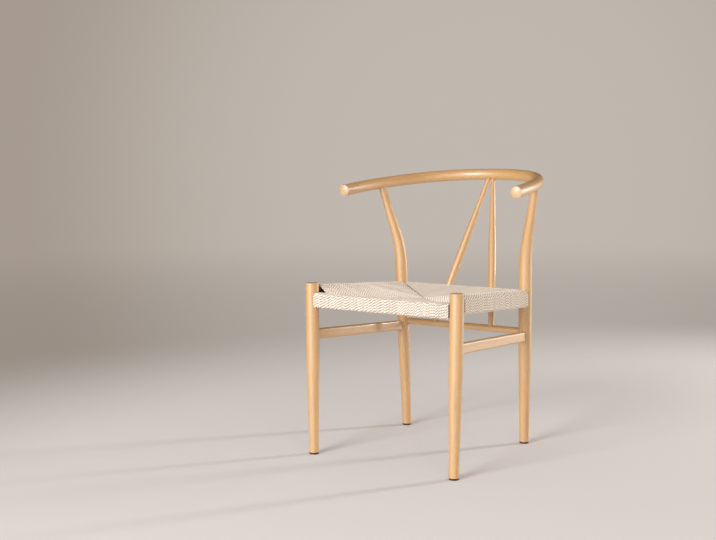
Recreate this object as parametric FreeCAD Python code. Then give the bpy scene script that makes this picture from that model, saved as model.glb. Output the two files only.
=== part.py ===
"""Dining chair with a horseshoe top rail, a V of two rods as its back and a woven cord seat.

Lengths are millimetres. The chair faces -Y, +X is to the right as seen from the front, +Z is up.
The origin is on the floor, under the middle of the chair's overall box.
Every piece is made at its own place and written to parts/NAME.step.
"""
import FreeCAD, Part
import math
import os

Vector = FreeCAD.Vector

# Overall sizes
overall_depth = 613.0
overall_height = 761.0

# Top rail: a round tube bent in one plane that drops towards the arm ends
rail_diameter = 32.0
rail_wall = 1.2
rail_spread = 537.0
rail_drop = 45.0
back_bend_half_angle = 60.7
arm_bend_radius = 455.0
arm_straight = 56.0
arm_flare_angle = 3.2
leg_joint_from_end = 162.0

# Arm caps
cap_collar_length = 12.0
cap_crown = 3.5
cap_dome_share = 0.8
cap_edge_radius = 1.4
cap_seam_radius = 1.5
cap_spigot_length = 18.0

# Legs: straight tube above, drawn thinner towards the floor
leg_diameter = 35.6
leg_wall = 1.2
foot_diameter = 26.5
taper_top_height = 270.0
taper_foot_height = 45.0
taper_blend_radius = 1800.0
front_leg_height = 460.0
front_leg_spread = 441.0
front_foot_spread = 431.0
leg_cap_thickness = 4.0
leg_cap_edge_radius = 2.4
leg_cap_seam_radius = 0.5
leg_cap_spigot_length = 9.0

# Rear legs: they lean back to the bend below the top rail, then run out and forward to it
rear_foot_spread = 387.0
rear_foot_setback = 428.0
rear_bend_spread = 403.4
rear_bend_setback = 404.0
rear_bend_drop = 186.4
rear_bend_radius = 350.0
rear_leg_top_diameter = 19.0
bend_steps = 6

# Back rods: fullest near the middle, then thinner to a slim neck below the top rail
rod_wall = 1.0
rod_foot_diameter = 16.0
rod_belly_diameter = 23.4
rod_neck_diameter = 13.8
rod_top_diameter = 13.2
rod_belly_share = 0.48
rod_neck_share = 0.82
rod_blend_radius = 3000.0
rod_foot_spread = 184.0
rod_top_spread = 9.0
rod_setback = 3.8

# Stretchers: they hang below the seat's cross rails, and the side ones fall towards the rear
rear_stretcher_diameter = 19.0
rear_stretcher_wall = 1.0
rear_stretcher_drop = 95.8
rear_stretcher_setback = 4.4
side_stretcher_height = 28.0
side_stretcher_width = 16.0
side_stretcher_edge_radius = 5.0
side_stretcher_wall = 1.2
side_stretcher_drop = 92.4
side_stretcher_fall = 21.5

# Seat rails, hidden inside the woven cord: they drop from the front legs' tops and fall rearwards
seat_rail_width = 25.0
seat_rail_wall = 1.5
seat_rail_edge_radius = 2.0
side_rail_crown_radius = 12.0
side_rail_keel_radius = 5.0
cross_rail_height = 30.0
side_rail_height = 40.0
front_rail_drop = 44.5
rear_rail_fall = 5.0
side_rail_drop = 28.2
side_rail_fall = 24.5

# Woven seat: the cord wraps each rail and runs in to the seams between the four panels
cord_diameter = 4.0
seat_centre_sink = 18.5
seat_centre_thickness = 12.0
front_seam_curve_power = 3.0
rear_seam_curve_power = 1.3
corner_opening = 4.0
seam_gap = 0.3
seam_stations = 5

# Glides
glide_height = 5.0
glide_diameter = 25.0
glide_edge_radius = 1.2
glide_stem_diameter = 21.5
glide_stem_length = 14.0

# Fits between pieces
weld_gap = 0.1
plug_fit = 0.15
cord_fit = 0.3
foot_overrun = 20.0

# Places that follow from the sizes
rail_radius = rail_diameter / 2
leg_radius = leg_diameter / 2
front_leg_y = leg_radius - overall_depth / 2
rail_back_y = overall_depth / 2 - rail_radius
rail_back_z = overall_height - rail_radius
band_half_width = seat_rail_width / 2 + cord_diameter
front_rail_level = front_leg_height - front_rail_drop
rear_rail_level = front_rail_level - rear_rail_fall
side_rail_front_level = front_leg_height - side_rail_drop
side_rail_rear_level = side_rail_front_level - side_rail_fall
seat_centre_level = front_rail_level + cross_rail_height / 2 + cord_diameter - seat_centre_sink
rear_stretcher_level = rear_rail_level - rear_stretcher_drop
side_stretcher_front_level = front_rail_level - side_stretcher_drop
side_stretcher_rear_level = side_stretcher_front_level - side_stretcher_fall
SIDES = {"left": -1, "right": 1}


def polar(radius, degrees):
    """Point in a flat plane: angle 0 points along the second axis, away from the arms."""
    angle = math.radians(degrees)
    return Vector(radius * math.sin(angle), -radius * math.cos(angle), 0)


def rounded_edges(points, radii, closed=False):
    """Straight edges through the points, with a tangent arc of the given radius at each."""
    count = len(points)
    joints = []
    for index, corner in enumerate(points):
        at_end = not closed and index in (0, count - 1)
        if at_end or radii[index] == 0:
            joints.append((corner, None, corner))
            continue
        back = (points[index - 1] - corner).normalize()
        ahead = (points[(index + 1) % count] - corner).normalize()
        half_angle = back.getAngle(ahead) / 2
        reach = radii[index] / math.tan(half_angle)
        inward = (back + ahead).normalize()
        middle = corner + inward * (radii[index] / math.sin(half_angle) - radii[index])
        joints.append((corner + back * reach, middle, corner + ahead * reach))
    edges = []
    for index, (start, middle, end) in enumerate(joints):
        if middle is not None:
            edges.append(Part.Arc(start, middle, end).toShape())
        if closed or index < count - 1:
            following = joints[(index + 1) % count][0]
            edges.append(Part.LineSegment(end, following).toShape())
    return edges


def rounded_wire(points, radii, closed=True):
    """The same edges as one wire."""
    return Part.Wire(rounded_edges(points, radii, closed))


def turned(points, radii, start, end):
    """Solid of revolution: points are (radius, distance from start) pairs along start to end."""
    outline = [Vector(radius, 0, distance) for radius, distance in points]
    face = Part.Face(rounded_wire(outline, radii))
    solid = face.revolve(Vector(), Vector(0, 0, 1), 360)
    solid.Placement = FreeCAD.Placement(start, FreeCAD.Rotation(Vector(0, 0, 1), end - start))
    return solid


def rounded_bar(width, height, edge_radii, start, end, across):
    """Bar from start to end with an upright section that is width wide along across.

    The edge radii go round from the low edge behind across to the high edge behind it.
    """
    up = Vector(0, 0, height / 2)
    side = across * (width / 2)
    corners = [start - side - up, start + side - up, start + side + up, start - side + up]
    section = Part.Face(rounded_wire(corners, edge_radii))
    return section.extrude(end - start)


def largest_solid(shape):
    """The biggest solid of a shape, without the loose offcuts of a cope."""
    return max(shape.Solids, key=lambda solid: solid.Volume)


def cut_by(blank, *tools):
    """The blank with every tool taken away, as one solid."""
    for tool in tools:
        blank = blank.cut(tool)
    return largest_solid(blank)


def slab(low, high):
    """A level slice of space, wider than the chair."""
    reach = overall_height
    return Part.makeBox(2 * reach, 2 * reach, high - low, Vector(-reach, -reach, low))


# Top rail
arm_angle = 90 - arm_flare_angle
back_bend_radius = (
    rail_spread / 2
    - arm_bend_radius * (polar(1, arm_angle).x - polar(1, back_bend_half_angle).x)
    - arm_straight * math.cos(math.radians(arm_angle))
) / polar(1, back_bend_half_angle).x
back_bend_centre = Vector(0, back_bend_radius, 0)
arm_bend_centre = back_bend_centre + polar(back_bend_radius - arm_bend_radius, back_bend_half_angle)


def rail_plan(distance_from_end):
    """Point of the right half of the rail's line, and the way it runs to the arm's end, laid flat.

    The flat plane has its zero at the middle of the back and its second axis towards the arms.
    """
    ahead = Vector(math.cos(math.radians(arm_angle)), math.sin(math.radians(arm_angle)), 0)
    bend_end = arm_bend_centre + polar(arm_bend_radius, arm_angle)
    if distance_from_end <= arm_straight:
        return bend_end + ahead * (arm_straight - distance_from_end), ahead
    turned_back = (distance_from_end - arm_straight) / arm_bend_radius
    angle = arm_angle - math.degrees(turned_back)
    ahead = Vector(math.cos(math.radians(angle)), math.sin(math.radians(angle)), 0)
    return arm_bend_centre + polar(arm_bend_radius, angle), ahead


rail_slope = rail_drop / rail_plan(0)[0].y
rail_tilt = math.asin(rail_slope)


def rail_place(flat, side=1):
    """A point or direction of the flat plane, tilted and taken to the given side."""
    return Vector(side * flat.x, -flat.y * math.cos(rail_tilt), -flat.y * math.sin(rail_tilt))


def rail_point(flat, side=1):
    """A point of the rail's flat plane at its place in the chair."""
    return Vector(0, rail_back_y, rail_back_z) + rail_place(flat, side)


def rail_edges(side, end_distance):
    """The half of the rail's line on one side, from the back to a distance from the arm's end."""
    half_angle = back_bend_half_angle
    middle_angle = (half_angle + arm_angle) / 2
    back_start = rail_point(Vector(), side)
    back_middle = rail_point(back_bend_centre + polar(back_bend_radius, half_angle / 2), side)
    back_end = rail_point(back_bend_centre + polar(back_bend_radius, half_angle), side)
    arm_middle = rail_point(arm_bend_centre + polar(arm_bend_radius, middle_angle), side)
    arm_end = rail_point(rail_plan(arm_straight)[0], side)
    straight_end = rail_point(rail_plan(end_distance)[0], side)
    return [
        Part.Arc(back_start, back_middle, back_end).toShape(),
        Part.Arc(back_end, arm_middle, arm_end).toShape(),
        Part.LineSegment(arm_end, straight_end).toShape(),
    ]


def rail_blank(radius, end_distance):
    """Solid bar along the whole rail, as thick as given."""
    right_half = rail_edges(1, end_distance)
    left_half = rail_edges(-1, end_distance)
    spine = Part.Wire(Part.sortEdges(left_half + right_half)[0])
    start = rail_point(rail_plan(end_distance)[0], -1)
    heading = rail_place(rail_plan(end_distance)[1], -1)
    section = Part.Wire(Part.makeCircle(radius, start, heading))
    return largest_solid(spine.makePipeShell([section], True, False))


def arm_cap(side):
    """Cap that closes an arm's end: a domed collar as thick as the rail, a spigot in its bore."""
    start = rail_point(rail_plan(cap_collar_length)[0], side)
    end = rail_point(rail_plan(0)[0], side)
    spigot_radius = rail_radius - rail_wall - plug_fit
    dome_reach = rail_radius / 2
    dome_slope = math.atan2(cap_crown, dome_reach)
    dome_radius = cap_dome_share * dome_reach / math.tan(dome_slope / 2)
    outline = [
        (0, -cap_spigot_length),
        (spigot_radius, -cap_spigot_length),
        (spigot_radius, weld_gap),
        (rail_radius, weld_gap),
        (rail_radius, cap_collar_length - cap_crown),
        (rail_radius - dome_reach, cap_collar_length),
        (0, cap_collar_length),
    ]
    radii = [0, 0, 0, cap_seam_radius, cap_edge_radius, dome_radius, 0]
    return turned(outline, radii, start, end)


# Legs
def leg_outline(radius, foot_radius, bottom, top):
    """Radius and distance pairs of a leg that thins to the floor, and the blend at each."""
    outline = [
        (0, bottom),
        (foot_radius, bottom),
        (foot_radius, taper_foot_height),
        (radius, taper_top_height),
        (radius, top),
        (0, top),
    ]
    return outline, [0, 0, taper_blend_radius, taper_blend_radius, 0, 0]


def straight_leg(foot, top, length, growth):
    """Lower, straight part of a leg, thicker all round by growth."""
    outline, radii = leg_outline(
        leg_radius + growth, foot_diameter / 2 + growth, -foot_overrun, length
    )
    return turned(outline, radii, foot, top)


def front_leg_axis(side, level):
    """Point of a front leg's centre line at a height."""
    spread = front_foot_spread + (front_leg_spread - front_foot_spread) * level / front_leg_height
    return Vector(side * spread / 2, front_leg_y, level)


def front_leg_solid(side, growth):
    """Front leg without its bore, from below the floor to its top end."""
    foot = front_leg_axis(side, 0)
    top = front_leg_axis(side, front_leg_height)
    return straight_leg(foot, top, (top - foot).Length - leg_cap_thickness, growth)


def front_leg(side):
    """Front leg tube, cut level above its glide."""
    tube = front_leg_solid(side, 0).cut(front_leg_solid(side, -leg_wall))
    return largest_solid(tube.common(slab(glide_height, overall_height)))


def front_leg_cap(side):
    """Disc that closes the top of a front leg, with a spigot in its bore."""
    foot = front_leg_axis(side, 0)
    top = front_leg_axis(side, front_leg_height)
    length = (top - foot).Length
    seat = length - leg_cap_thickness
    spigot_radius = leg_radius - leg_wall - plug_fit
    outline = [
        (0, seat - leg_cap_spigot_length),
        (spigot_radius, seat - leg_cap_spigot_length),
        (spigot_radius, seat + weld_gap),
        (leg_radius, seat + weld_gap),
        (leg_radius, length),
        (0, length),
    ]
    radii = [0, 0, 0, leg_cap_seam_radius, leg_cap_edge_radius, 0]
    return turned(outline, radii, foot, top)


leg_joint = rail_point(rail_plan(leg_joint_from_end)[0])
rear_bend_height = leg_joint.z - rear_bend_drop


def rear_leg_axis(side, level):
    """Point of a rear leg's centre line at a height below its bend."""
    share = level / rear_bend_height
    spread = rear_foot_spread + (rear_bend_spread - rear_foot_spread) * share
    setback = rear_foot_setback + (rear_bend_setback - rear_foot_setback) * share
    return Vector(side * spread / 2, front_leg_y + setback, level)


def rear_leg_solid(side, growth):
    """Rear leg without its bore, from below the floor to the rail's centre line."""
    foot = rear_leg_axis(side, 0)
    corner = rear_leg_axis(side, rear_bend_height)
    joint = Vector(side * leg_joint.x, leg_joint.y, leg_joint.z)
    lower = (foot - corner).normalize()
    upper = (joint - corner).normalize()
    half_angle = lower.getAngle(upper) / 2
    reach = rear_bend_radius / math.tan(half_angle)
    inward = (lower + upper).normalize()
    centre = corner + inward * (rear_bend_radius / math.sin(half_angle))
    turn = math.pi - 2 * half_angle
    arc_length = rear_bend_radius * turn
    upper_length = (joint - corner).Length - reach
    thinning = (leg_diameter - rear_leg_top_diameter) / 2 / (arc_length + upper_length)
    across = (upper - lower).normalize()
    circles = []
    for step in range(bend_steps + 1):
        angle = turn * (step / bend_steps - 1 / 2)
        ray = across * math.sin(angle) - inward * math.cos(angle)
        heading = across * math.cos(angle) + inward * math.sin(angle)
        radius = leg_radius + growth - thinning * arc_length * step / bend_steps
        circle = Part.makeCircle(radius, centre + ray * rear_bend_radius, heading)
        circles.append(Part.Wire(circle))
    bend = Part.makeLoft(circles, True, False)
    bend_end = corner + upper * reach
    top_radius = rear_leg_top_diameter / 2 + growth
    bend_end_radius = leg_radius + growth - thinning * arc_length
    cone = Part.makeCone(bend_end_radius, top_radius, upper_length, bend_end, upper)
    straight = straight_leg(foot, corner, (corner - foot).Length - reach, growth)
    return largest_solid(straight.multiFuse([bend, cone]))


def rear_leg(side, rail_envelope):
    """Rear leg tube, cut level above its glide and coped to the rail."""
    tube = rear_leg_solid(side, 0).cut(rear_leg_solid(side, -leg_wall))
    tube = tube.common(slab(glide_height, overall_height))
    return cut_by(tube, rail_envelope)


def glide(axis_point):
    """Glide under a leg: a flat pad with a stem in the leg's bore."""
    pad_radius = glide_diameter / 2
    stem_radius = glide_stem_diameter / 2
    pad_top = glide_height - weld_gap
    outline = [
        (0, 0),
        (pad_radius, 0),
        (pad_radius, pad_top),
        (stem_radius, pad_top),
        (stem_radius, glide_height + glide_stem_length),
        (0, glide_height + glide_stem_length),
    ]
    radii = [0, glide_edge_radius, 0, 0, glide_edge_radius, 0]
    foot = Vector(axis_point.x, axis_point.y, 0)
    return turned(outline, radii, foot, foot + Vector(0, 0, 1))


# Stretchers and rods
def rear_stretcher_solid(growth):
    """Round bar between the rear legs, just behind their centre lines."""
    setback = Vector(0, rear_stretcher_setback, 0)
    start = rear_leg_axis(-1, rear_stretcher_level) + setback
    end = rear_leg_axis(1, rear_stretcher_level) + setback
    radius = rear_stretcher_diameter / 2 + growth
    return Part.makeCylinder(radius, (end - start).Length, start, end - start)


def back_rod_solid(side, growth):
    """Rod from the rear stretcher to the rail, set back at both ends, thicker by growth."""
    setback = Vector(0, rod_setback, 0)
    level = rear_leg_axis(side, rear_stretcher_level)
    foot = Vector(side * rod_foot_spread / 2, level.y, level.z) + setback
    flat_x = rod_top_spread / 2
    flat_y = back_bend_radius - math.sqrt(back_bend_radius ** 2 - flat_x ** 2)
    top = rail_point(Vector(flat_x, flat_y, 0), side) + setback
    length = (top - foot).Length
    outline = [
        (0, 0),
        (rod_foot_diameter / 2 + growth, 0),
        (rod_belly_diameter / 2 + growth, rod_belly_share * length),
        (rod_neck_diameter / 2 + growth, rod_neck_share * length),
        (rod_top_diameter / 2 + growth, length),
        (0, length),
    ]
    radii = [0, 0, rod_blend_radius, rod_blend_radius, 0, 0]
    return turned(outline, radii, foot, top)


def side_stretcher(side, *envelopes):
    """Flat oval tube between a front and a rear leg, coped to both."""
    start = front_leg_axis(side, side_stretcher_front_level)
    end = rear_leg_axis(side, side_stretcher_rear_level)
    width = side_stretcher_width
    height = side_stretcher_height
    radius = side_stretcher_edge_radius
    wall = side_stretcher_wall
    across = Vector(1, 0, 0)
    outer = rounded_bar(width, height, [radius] * 4, start, end, across)
    bore_radii = [radius - wall] * 4
    bore = rounded_bar(width - 2 * wall, height - 2 * wall, bore_radii, start, end, across)
    return cut_by(outer, bore, *envelopes)


# Seat rails and the woven panels around them: start, end, height, way in and edge radii of each
CROSS_RAIL_RADII = [seat_rail_edge_radius] * 4
SIDE_RAIL_RADII = [
    side_rail_keel_radius,
    seat_rail_edge_radius,
    seat_rail_edge_radius,
    side_rail_crown_radius,
]
SEAT_RAILS = {
    "front": (
        front_leg_axis(-1, front_rail_level),
        front_leg_axis(1, front_rail_level),
        cross_rail_height,
        Vector(0, 1, 0),
        CROSS_RAIL_RADII,
    ),
    "rear": (
        rear_leg_axis(-1, rear_rail_level),
        rear_leg_axis(1, rear_rail_level),
        cross_rail_height,
        Vector(0, -1, 0),
        CROSS_RAIL_RADII,
    ),
    "left": (
        front_leg_axis(-1, side_rail_front_level),
        rear_leg_axis(-1, side_rail_rear_level),
        side_rail_height,
        Vector(1, 0, 0),
        SIDE_RAIL_RADII,
    ),
    "right": (
        front_leg_axis(1, side_rail_front_level),
        rear_leg_axis(1, side_rail_rear_level),
        side_rail_height,
        Vector(-1, 0, 0),
        SIDE_RAIL_RADII,
    ),
}


def seat_rail_solid(name, growth, start=None, end=None):
    """Bar along a seat rail, thicker all round by growth, over its whole length or a part."""
    rail_start, rail_end, height, inward, radii = SEAT_RAILS[name]
    width = seat_rail_width + 2 * growth
    grown_radii = [radius + growth for radius in radii]
    start = start or rail_start
    end = end or rail_end
    return rounded_bar(width, height + 2 * growth, grown_radii, start, end, inward)


def seat_rail(name, *envelopes):
    """Seat rail tube, coped to its two legs."""
    return cut_by(seat_rail_solid(name, 0), seat_rail_solid(name, -seat_rail_wall), *envelopes)


def on_rail(name, across_place):
    """Point of a seat rail's centre line: at an x for front and rear, at a y for the sides."""
    start, end = SEAT_RAILS[name][:2]
    if name in ("front", "rear"):
        share = (across_place - start.x) / (end.x - start.x)
    else:
        share = (across_place - start.y) / (end.y - start.y)
    return start + (end - start) * share


def band_top(name, across_place):
    """Height of the cord's top over a rail."""
    return on_rail(name, across_place).z + SEAT_RAILS[name][2] / 2 + cord_diameter


def band_bottom(name, across_place):
    """Height of the cord's underside below a rail."""
    return on_rail(name, across_place).z - SEAT_RAILS[name][2] / 2 - cord_diameter


def seat_corner(cross_name, side_name):
    """Where the inner faces of two neighbouring bands meet, in plan."""
    inward = SEAT_RAILS[cross_name][3]
    y = SEAT_RAILS[cross_name][0].y + inward.y * band_half_width
    x = on_rail(side_name, y).x + SEAT_RAILS[side_name][3].x * band_half_width
    return Vector(x, y, 0)


seat_centre = Vector(0, (SEAT_RAILS["front"][0].y + SEAT_RAILS["rear"][0].y) / 2, 0)


def seam_points(cross_name, side_name):
    """Top and bottom of the seam between two panels, from beside the corner to the centre."""
    corner = seat_corner(cross_name, side_name)
    corner_top = band_top(cross_name, corner.x)
    corner_bottom = (band_bottom(cross_name, corner.x) + band_bottom(side_name, corner.y)) / 2
    centre_bottom = seat_centre_level - seat_centre_thickness
    first_share = corner_opening / abs(seat_centre.x - corner.x)
    power = front_seam_curve_power if cross_name == "front" else rear_seam_curve_power
    points = []
    for station in range(seam_stations):
        share = first_share + (1 - first_share) * station / (seam_stations - 1)
        place = corner + (seat_centre - corner) * share
        rise = (1 - share) ** power
        top = seat_centre_level + (corner_top - seat_centre_level) * rise
        bottom = centre_bottom + (corner_bottom - centre_bottom) * rise
        points.append((place, top, bottom))
    return points


def panel_half(name, seam):
    """Half of a panel inside its rail, from one corner to the centre of the seat."""
    inward = SEAT_RAILS[name][3]
    edge_radius = seat_rail_edge_radius + cord_diameter
    sections = []
    for place, seam_top, seam_bottom in seam:
        along = place.x if name in ("front", "rear") else place.y
        axis = on_rail(name, along)
        start = axis + inward * (band_half_width - edge_radius)
        reach = (place - axis).dot(inward) - seam_gap
        end = axis + inward * reach
        corners = [
            Vector(start.x, start.y, band_bottom(name, along)),
            Vector(end.x, end.y, seam_bottom),
            Vector(end.x, end.y, seam_top),
            Vector(start.x, start.y, band_top(name, along)),
        ]
        sections.append(Part.makePolygon(corners + corners[:1]))
    return Part.makeLoft(sections, True, True)


def seat_weave(name, envelopes):
    """Woven panel: the band of cord round its rail and the two halves that run to the centre."""
    if name in ("front", "rear"):
        seams = [seam_points(name, "left"), seam_points(name, "right")]
        ends = [seat_corner(name, "left").x + seam_gap, seat_corner(name, "right").x - seam_gap]
    else:
        seams = [seam_points("front", name), seam_points("rear", name)]
        ends = [seat_corner("front", name).y + seam_gap, seat_corner("rear", name).y - seam_gap]
    band_start = on_rail(name, ends[0])
    band_end = on_rail(name, ends[1])
    band = seat_rail_solid(name, cord_diameter, band_start, band_end)
    panel = band.multiFuse([panel_half(name, seam) for seam in seams])
    return cut_by(panel, seat_rail_solid(name, cord_fit), *envelopes)


# All pieces, by name
def build_pieces():
    """Every piece of the chair as a solid, by its name."""
    pieces = {}
    rail_envelope = rail_blank(rail_radius + weld_gap, cap_collar_length)
    stretcher_envelope = rear_stretcher_solid(weld_gap)
    pieces["arm_rail"] = cut_by(
        rail_blank(rail_radius, cap_collar_length),
        rail_blank(rail_radius - rail_wall, cap_collar_length),
    )
    legs = {}
    soft_legs = {}
    for side_name, side in SIDES.items():
        legs["front", side_name] = front_leg_solid(side, weld_gap)
        legs["rear", side_name] = rear_leg_solid(side, weld_gap)
        soft_legs["front", side_name] = front_leg_solid(side, cord_fit)
        soft_legs["rear", side_name] = rear_leg_solid(side, cord_fit)
    for side_name, side in SIDES.items():
        front = legs["front", side_name]
        rear = legs["rear", side_name]
        pieces["arm_cap_" + side_name] = arm_cap(side)
        pieces["front_leg_" + side_name] = front_leg(side)
        pieces["front_leg_cap_" + side_name] = front_leg_cap(side)
        pieces["rear_leg_" + side_name] = rear_leg(side, rail_envelope)
        pieces["glide_front_" + side_name] = glide(front_leg_axis(side, glide_height))
        pieces["glide_rear_" + side_name] = glide(rear_leg_axis(side, glide_height))
        pieces["back_rod_" + side_name] = cut_by(
            back_rod_solid(side, 0),
            back_rod_solid(side, -rod_wall),
            rail_envelope,
            stretcher_envelope,
        )
        pieces["side_stretcher_" + side_name] = side_stretcher(side, front, rear)
        pieces["seat_rail_" + side_name] = seat_rail(side_name, front, rear)
        pieces["seat_weave_" + side_name] = seat_weave(
            side_name, [soft_legs["front", side_name], soft_legs["rear", side_name]]
        )
    for end_name in ("front", "rear"):
        pair = [legs[end_name, "left"], legs[end_name, "right"]]
        soft_pair = [soft_legs[end_name, "left"], soft_legs[end_name, "right"]]
        pieces["seat_rail_" + end_name] = seat_rail(end_name, *pair)
        pieces["seat_weave_" + end_name] = seat_weave(end_name, soft_pair)
    pieces["rear_stretcher"] = cut_by(
        rear_stretcher_solid(0),
        rear_stretcher_solid(-rear_stretcher_wall),
        legs["rear", "left"],
        legs["rear", "right"],
    )
    return pieces


os.makedirs("parts", exist_ok=True)
for piece_name, piece in build_pieces().items():
    piece.exportStep(os.path.join("parts", piece_name + ".step"))
    box = piece.optimalBoundingBox()
    print(f"{piece_name}: {len(piece.Solids)} solid, valid {piece.isValid()},"
          f" {piece.Volume / 1000:.1f} cm3,"
          f" {box.XLength:.1f} x {box.YLength:.1f} x {box.ZLength:.1f} mm")
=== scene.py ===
# %% [markdown]
# This lesson dresses a light dining chair. On the real chair a bent horseshoe rail rests on four
# tapered legs, two thin rods in a V make the back, and the seat is woven from twisted paper cord.
# The solids of every tube, cap and glide are already exact, so they are loaded as they are and only
# get a finish. The cord is another matter: its solids are plain wedges, so it is made here strand
# by strand.

# %% Load the solids
import math
import random

import bpy
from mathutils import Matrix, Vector


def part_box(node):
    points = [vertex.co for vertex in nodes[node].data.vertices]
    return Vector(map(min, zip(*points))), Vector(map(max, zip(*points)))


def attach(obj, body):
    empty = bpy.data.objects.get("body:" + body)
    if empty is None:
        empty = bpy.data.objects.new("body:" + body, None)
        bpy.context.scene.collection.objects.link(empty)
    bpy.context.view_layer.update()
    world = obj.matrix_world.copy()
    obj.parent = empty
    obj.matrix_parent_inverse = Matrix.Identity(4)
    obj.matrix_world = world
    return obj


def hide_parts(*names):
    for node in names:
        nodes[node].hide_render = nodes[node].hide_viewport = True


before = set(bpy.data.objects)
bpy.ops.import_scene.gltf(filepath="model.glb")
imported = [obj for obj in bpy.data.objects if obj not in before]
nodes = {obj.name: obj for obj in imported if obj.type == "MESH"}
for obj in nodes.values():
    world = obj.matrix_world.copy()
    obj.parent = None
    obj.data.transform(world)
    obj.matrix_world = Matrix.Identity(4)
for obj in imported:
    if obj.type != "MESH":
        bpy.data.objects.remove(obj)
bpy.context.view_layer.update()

# %% [markdown]
# The camera comes first, because every later choice is judged through it. Its place was worked out
# from pairs of points that mirror each other on the chair: it stands to the right of the chair's
# front, at the height of the top rail, and looks a little down. A fairly long lens keeps the legs
# nearly parallel, as a furniture photographer would have them.

# %% Camera
CAMERA_PLACE = Vector((1.5262, -2.5662, 0.7553))
CAMERA_TURN = math.radians(35.057)
CAMERA_DIP = math.radians(5.208)
CAMERA_LENS = 54.755
SENSOR_WIDTH = 36.0
CHAIR_MIDDLE = Vector((0.0, 0.0, 0.45))

camera_data = bpy.data.cameras.new("camera")
camera_data.lens = CAMERA_LENS
camera_data.sensor_width = SENSOR_WIDTH
camera = bpy.data.objects.new("camera", camera_data)
backwards = Vector((
    math.sin(CAMERA_TURN) * math.cos(CAMERA_DIP),
    -math.cos(CAMERA_TURN) * math.cos(CAMERA_DIP),
    math.sin(CAMERA_DIP),
))
camera.location = CAMERA_PLACE
camera.rotation_mode = "QUATERNION"
camera.rotation_quaternion = backwards.to_track_quat("Z", "Y")
bpy.context.scene.collection.objects.link(camera)
bpy.context.scene.camera = camera
print("camera stands", round((CAMERA_PLACE - CHAIR_MIDDLE).length, 2), "m from the chair")

# %% [markdown]
# Finishes are built from shader nodes. A few small helpers keep that short: one adds a node with
# its values and links already set, and the others make what comes back again and again, such as a
# sum, a mix, a ramp, a noise, a bump and an empty material.


# %% Shader helpers
def add_node(tree, kind, values=None, **settings):
    """A node of the given kind, with its settings and the values or links of its inputs."""
    node = tree.nodes.new(kind)
    for setting, value in settings.items():
        setattr(node, setting, value)
    for socket, value in (values or {}).items():
        if isinstance(value, bpy.types.NodeSocket):
            tree.links.new(value, node.inputs[socket])
        else:
            node.inputs[socket].default_value = value
    return node


def math_node(tree, operation, first, second=0.0):
    """The output of one math node."""
    return add_node(tree, "ShaderNodeMath", {0: first, 1: second}, operation=operation).outputs[0]


def vector_node(tree, operation, values, output="Vector"):
    """An output of one vector math node."""
    return add_node(tree, "ShaderNodeVectorMath", values, operation=operation).outputs[output]


def map_range(tree, value, limits, interpolation="LINEAR"):
    """A value mapped from one range to another."""
    values = {"Value": value, **limits}
    return add_node(tree, "ShaderNodeMapRange", values, interpolation_type=interpolation).outputs[0]


def own_place(tree):
    """The coordinates of the piece itself."""
    return add_node(tree, "ShaderNodeTexCoord").outputs["Object"]


def mixed(tree, factor, first, second, blend_type="MIX"):
    """The colour output of a mix of two colours."""
    node = add_node(tree, "ShaderNodeMix", data_type="RGBA", blend_type=blend_type)
    for index, value in ((0, factor), (6, first), (7, second)):
        if isinstance(value, bpy.types.NodeSocket):
            tree.links.new(value, node.inputs[index])
        elif index == 0:
            node.inputs[index].default_value = value
        else:
            node.inputs[index].default_value = (*value, 1)
    return node.outputs[2]


def ramp(tree, factor, stops):
    """The colour output of a ramp with (place, colour) stops."""
    node = add_node(tree, "ShaderNodeValToRGB", {"Fac": factor})
    elements = node.color_ramp.elements
    while len(elements) < len(stops):
        elements.new(0.5)
    for element, (place, colour) in zip(elements, stops):
        element.position = place
        element.color = (*colour, 1)
    return node.outputs["Color"]


def noise(tree, vector, scale=1.0, detail=2.0, distortion=0.0):
    """The grey output of a noise texture."""
    values = {"Vector": vector, "Scale": scale, "Detail": detail, "Distortion": distortion}
    return add_node(tree, "ShaderNodeTexNoise", values).outputs["Fac"]


def new_material(name):
    """An empty material, its tree and its surface shader."""
    material = bpy.data.materials.new(name)
    material.use_nodes = True
    tree = material.node_tree
    tree.nodes.clear()
    shader = tree.nodes.new("ShaderNodeBsdfPrincipled")
    output = tree.nodes.new("ShaderNodeOutputMaterial")
    tree.links.new(shader.outputs[0], output.inputs[0])
    return material, tree, shader


def set_inputs(shader, values):
    """Sets constants on a surface shader's sockets."""
    for name, value in values.items():
        shader.inputs[name].default_value = value


def roughen(tree, shader, height, strength, depth):
    """Gives a surface shader a shallow bump."""
    values = {"Strength": strength, "Distance": depth, "Height": height}
    bump = add_node(tree, "ShaderNodeBump", values)
    tree.links.new(bump.outputs[0], shader.inputs["Normal"])


print("helpers ready")

# %% [markdown]
# The frame has the look of pale beech under a satin lacquer. Beech shows three things at this
# distance: slow bands of warmer and cooler wood along the grain, fine fibres, and short dark
# flecks. All three are noise that is stretched along the grain, so one node group makes them from a
# single vector whose third part runs along the piece. Every tube then needs only its own vector.
#
# Each kind has its scale across and along the grain, in waves per metre.

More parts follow.
